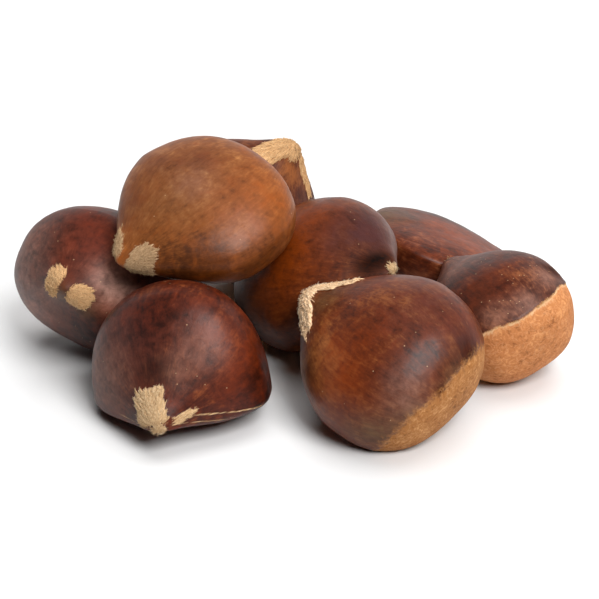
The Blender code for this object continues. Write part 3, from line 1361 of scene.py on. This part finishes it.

# its pale haze colour serves the left nut's painted highlight and painted grey reflections
RED_SHELL = ShellFinish(
    "240A05", "461A0C", "6A3A22", rust="622006", bloom="B48878", specks=0.12, mottled=1.0,
    roughness=0.42,
)
GLOSSY_RED_SHELL = ShellFinish("1E0804", "42170A", "763C1C", rust="642204", specks=0.3)
BROWN_SHELL = ShellFinish(
    "2A1008", "58240C", "885027", rust="6E2A06", specks=0.25, mottled=1.0
)
MID_SHELL = ShellFinish("280F07", "50220C", "7C4620", rust="682A04", specks=0.12)
COCOA_SHELL = ShellFinish(
    "200C06", "44190A", "804A28", rust="5C240A", specks=0.7, speck_spacing=1.2
)
BACK_SHELL = ShellFinish("2A1008", "54220F", "8C5030", rust="74300E", specks=0.1)
TAWNY_SHELL = ShellFinish(
    "42200A", "78421C", "A87240", rust="8A4410", specks=0.1, mottled=0.8
)

CHESTNUTS = (
    Chestnut(
        "chestnut_centre", Slot.CHESTNUT,
        NutForm(0, 35.2, 20.5, 17.5, 11.9, 11.3, -45, 20, 27),
        MID_SHELL, CREAM_FELT,
        ScarForm(-13.0, 3.0, 3.0, 2.0, 0.0),
        (FeltPatch(3, 40, 1.2, 1.3, square=1.6),),
        {
            Tint.RUST: [
                Mark(88, 86, 9, 0.7), Mark(74, 66, 6, 0.6), Mark(70, 112, 6, 0.8),
                Mark(90, 140, 8, 0.6), Mark(104, 160, 5, 0.6),
            ],
            Tint.PLUM: [Mark(46, 52, 6, 0.9), Mark(34, 46, 5, 0.8), Mark(50, 88, 4, 0.5)],
            # the near-black marks at theta 122 and 124 paint shade on the nut's lower left, in the
            # crevice between its neighbours
            Tint.CHAR: [
                Mark(24, 104, 2.8, 0.9), Mark(16, 72, 2.4, 0.8), Mark(122, 168, 4.5, 0.9),
                Mark(124, 190, 8, 0.9),
            ],
            Tint.OLIVE: [Mark(112, 156, 5, 0.4)],
            Tint.TONE: [Mark(72, 104, 8, -0.3)],
        },
        hairs=180,
    ),
    Chestnut(
        "chestnut_front_right", Slot.CHESTNUT,
        NutForm(1, 34.8, 20.8, 16.7, 14, 6.5, 142, 20.5, -27),
        BROWN_SHELL, PALE_FELT,
        ScarForm(-14.3, 2.0, 3.0, 2.0, 0.6, softness=3.0, frayed=60),
        (
            FeltPatch(20, 128, 1.5, 6.2, square=2.2),
            FeltPatch(22, 40, 2.1, 6.2, square=2.2),
            FeltPatch(6, 90, 2.2, 2.2),
            FeltPatch(16, 270, 4.0, 3.0),
        ),
        {
            Tint.CHAR: [Mark(138, 120, 2.6, 0.85), Mark(146, 78, 1.5, 0.8)],
            Tint.PLUM: [Mark(132, 122, 4.0, 0.8), Mark(92, 118, 8, 0.55), Mark(118, 66, 5, 0.45)],
            Tint.OLIVE: [
                Mark(146, 98, 3, 0.6), Mark(140, 48, 3, 0.6), Mark(128, 24, 4, 0.6),
                Mark(112, 14, 4, 0.5), Mark(30, 84, 3.5, 0.8), Mark(58, 20, 4, 0.5),
            ],
            Tint.RUST: [Mark(92, 36, 6, 0.8), Mark(76, 60, 5, 0.5)],
            # the tone mark at theta 110 paints shade over the key light's highlight
            Tint.TONE: [
                Mark(84, 72, 7, -0.3), Mark(110, 86, 4.5, -0.5), Mark(80, 106, 5, 0.4),
                Mark(66, 42, 7, 0.8),
            ],
            # a painted highlight, low on the nut's front
            Tint.BLOOM: [Mark(124, 62, 4, 0.6)],
        },
        hairs=2400,
        felt_thick=0.6,
    ),
    Chestnut(
        "chestnut_front_left", Slot.RED_BROWN,
        NutForm(2, 34.5, 15.7, 13.3, 20.4, 4.5, -102, 3, 6),
        GLOSSY_RED_SHELL, CREAM_FELT,
        ScarForm(-10.5, 2.0, 2.0, 2.0, 0.0),
        (
            FeltPatch(17, 112, 3.1, 3.4, square=9.0, turned=8.0),
            FeltPatch(20, 18, 0.8, 2.4),
            FeltPatch(2, 30, 1.0, 1.4),
            FeltPatch(43, 1, 0.16, 8.0, turned=12.0),
            FeltPatch(28, 354, 0.13, 5.0, turned=10.0),
            FeltPatch(26, 178, 0.16, 2.6),
        ),
        {
            Tint.RUST: [
                Mark(74, 30, 6, 0.7), Mark(50, 18, 4, 0.6), Mark(20, 58, 1.2, 1.0),
                Mark(66, 56, 3.0, 0.8), Mark(64, 80, 8, 0.3),
            ],
            Tint.TONE: [
                Mark(66, 92, 7, -0.4), Mark(74, 12, 6, -0.6), Mark(66, 56, 3.0, 0.6),
                Mark(58, 30, 3.0, 0.5),
            ],
            Tint.PLUM: [Mark(54, 126, 8, 0.6), Mark(60, 66, 6, 0.3)],
            Tint.CHAR: [Mark(36, 94, 3.2, 0.75)],
            # the grey haze marks paint the soft highlight and, at phi 156, a grey reflection on
            # the left edge
            Tint.BLOOM: [Mark(36, 74, 3, 0.3), Mark(52, 60, 5, 0.3), Mark(54, 156, 7, 0.5)],
        },
        hairs=2000,
        felt_thick=0.3,
    ),
    Chestnut(
        "chestnut_right", Slot.COCOA,
        NutForm(3, 27.4, 18, 15.5, 8.5, 11.5, 118, 7, -19),
        COCOA_SHELL, GREY_FELT,
        ScarForm(-12.45, 5.4, 4.6, 3.0, 0.8, frayed=900),
        (FeltPatch(0, 0, 0.6, 0.6),),
        {
            # the grey haze mark at theta 42 paints grey sheen at the upper left
            Tint.BLOOM: [
                Mark(42, 68, 5, 0.4), Mark(124, 66, 3.0, 0.6), Mark(130, 96, 3.0, 0.6),
                Mark(112, 130, 3.0, 0.7),
            ],
            Tint.RUST: [Mark(98, 76, 5, 0.7), Mark(84, 104, 5, 0.6)],
            Tint.TONE: [Mark(96, 76, 4, -0.4), Mark(94, 96, 3.5, 0.5), Mark(70, 70, 6, -0.4)],
            Tint.CHAR: [Mark(100, 150, 2.6, 0.7)],
        },
        hairs=30,
        scar=WORMY_SCAR,
    ),
    Chestnut(
        "chestnut_left", Slot.RED_BROWN,
        NutForm(4, 32, 16.7, 14.3, 13, 14, -103, 18, -22),
        RED_SHELL, TAN_FELT,
        ScarForm(-11.0, 3.0, 3.0, 2.0, 0.0),
        (
            FeltPatch(16, 182, 3.2, 2.2, square=2.6),
            FeltPatch(14, 352, 2.4, 2.5, square=3.0),
        ),
        {
            Tint.RUST: [Mark(54, 90, 8, 0.7), Mark(34, 358, 2.4, 0.9)],
            Tint.TONE: [
                Mark(52, 100, 8, -0.3), Mark(34, 358, 2.4, 0.8), Mark(42, 302, 6, -0.4),
                Mark(72, 278, 8, -0.5), Mark(56, 176, 7, -0.4),
            ],
            # the grey haze marks at phi 234 and 180 paint grey reflections on the left side; the
            # one at theta 36 paints the highlight where the top nut's shadow falls
            Tint.BLOOM: [Mark(52, 234, 8, 0.3), Mark(60, 180, 7, 0.27), Mark(36, 32, 4.2, 0.9)],
            Tint.OLIVE: [Mark(12, 250, 2.5, 0.8), Mark(26, 320, 2.0, 0.6)],
        },
        hairs=2600,
        felt_thick=0.3,
        spread=0.8,
    ),
    Chestnut(
        "chestnut_back_right", Slot.TAWNY,
        NutForm(5, 31.5, 18, 15.5, 11.5, 3, 9, -18.5, 177),
        BACK_SHELL, TAN_FELT,
        ScarForm(-15.3, 0.3, 0.3, 0.3, 0.0, frayed=10),
        (FeltPatch(0, 0, 0.8, 0.8),),
        {
            Tint.OLIVE: [Mark(150, 240, 6, 0.9)],
            Tint.RUST: [Mark(90, 270, 6, 0.8), Mark(66, 272, 6, 0.7)],
            Tint.TONE: [Mark(100, 200, 8, -0.8), Mark(60, 200, 8, -0.8)],
        },
        hairs=60,
    ),
    Chestnut(
        "chestnut_back_top", Slot.TAWNY,
        NutForm(6, 36.5, 18.4, 15.6, 14, 10, -3, 53, 102),
        MID_SHELL, TAN_FELT,
        ScarForm(-12.0, 3.0, 3.0, 2.0, 0.0),
        (FeltPatch(20, 42, 2.4, 4.2), FeltPatch(6, 90, 2.4, 2.4), FeltPatch(26, 152, 1.3, 4.5)),
        {
            Tint.BLOOM: [Mark(42, 66, 5, 0.3)],
            Tint.PLUM: [Mark(44, 120, 4, 0.4)],
            Tint.TONE: [Mark(30, 96, 6, 0.7)],
            Tint.CHAR: [Mark(40, 178, 3, 0.5)],
        },
        hairs=1800,
        felt_thick=0.35,
    ),
    Chestnut(
        "chestnut_top", Slot.TAWNY,
        NutForm(7, 35, 20.5, 17.5, 8, 9, -138, -13, -17, lean=0.7),
        TAWNY_SHELL, GREY_FELT,
        ScarForm(-15.6, 1.5, 1.5, 1.5, 0.0),
        (FeltPatch(16, 24, 2.6, 2.6), FeltPatch(18, 148, 1.1, 2.8), FeltPatch(20, 230, 1.5, 2.5)),
        {
            Tint.RUST: [Mark(92, 42, 9, 0.5), Mark(120, 54, 6, 0.6), Mark(58, 352, 7, 0.6)],
            Tint.PLUM: [Mark(80, 126, 4, 0.5), Mark(46, 128, 5, 0.45), Mark(98, 102, 5, 0.5)],
            # the grey haze and tone marks at theta 90, phi 44 paint the highlight
            Tint.BLOOM: [Mark(84, 92, 4, 0.3), Mark(90, 44, 4.0, 0.4)],
            Tint.TONE: [
                Mark(34, 14, 6, -0.7), Mark(60, 14, 6, -0.7), Mark(54, 42, 4, -0.5),
                Mark(90, 14, 6, -0.5), Mark(90, 44, 4.0, 0.6),
            ],
            Tint.OLIVE: [Mark(64, 94, 8, 0.35)],
        },
        hairs=2400,
        felt_thick=0.3,
        spread=0.7,
    ),
)


def main() -> None:
    """Builds the camera, the studio and each nut in order."""
    logging.basicConfig(level=logging.INFO, format="%(name)s: %(message)s")
    PhotoCamera().build()
    Studio().build()
    ball = Ball()
    wanted = {finish for nut in CHESTNUTS for finish in (nut.felt.hairs, nut.scar.fibres)}
    materials = {finish: finish.material() for finish in sorted(wanted, key=lambda one: one.name)}
    for nut in CHESTNUTS:
        for piece in nut.build(ball, materials):
            log.info("%s: %d faces", piece.name, len(piece.data.polygons))


if __name__ == "__main__":
    main()
